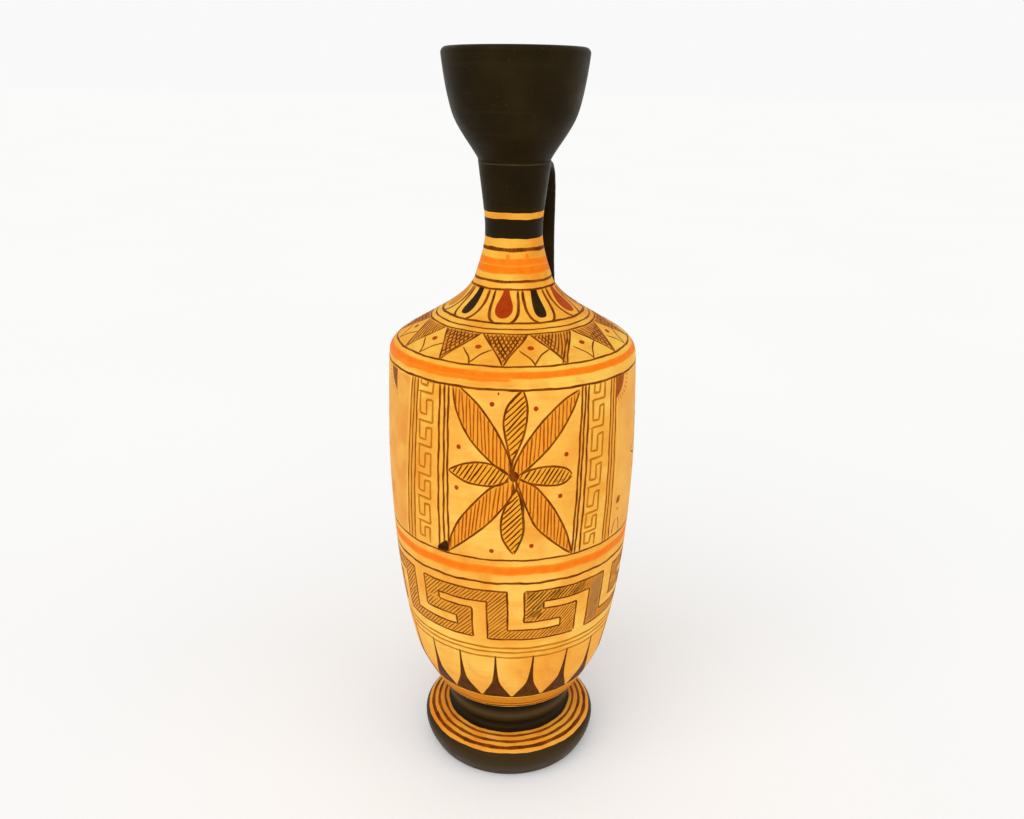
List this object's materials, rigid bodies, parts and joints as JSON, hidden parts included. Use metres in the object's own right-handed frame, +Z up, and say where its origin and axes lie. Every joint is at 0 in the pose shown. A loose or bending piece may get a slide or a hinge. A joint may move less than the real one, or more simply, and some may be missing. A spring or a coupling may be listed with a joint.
{
  "type": "lekythos",
  "caption": "Tall painted ceramic oil bottle with a disc foot, cylindrical body, sloping shoulder, narrow neck, deep cup mouth and a strap handle.",
  "frame": {"origin": "middle of the foot's underside, on the axis of the bottle", "axes": "+Z up along the axis of the bottle, +Y towards the handle"},
  "size_m": [0.0822, 0.0822, 0.24],
  "materials": {
    "black_glaze": "satin black slip glaze",
    "painted_ground": "warm yellow ground under painted bands, satin",
    "slip": "matte fired slip"
  },
  "bodies": {
    "root": {"foot": "black_glaze", "foot_slip": "slip", "body": "painted_ground", "shoulder_slip": "slip", "shoulder": "painted_ground", "neck_slip": "slip", "neck": "black_glaze", "mouth_slip": "slip", "mouth": "black_glaze", "handle_top_slip": "slip", "handle_root_slip": "slip", "handle": "black_glaze"}
  },
  "joints": []
}
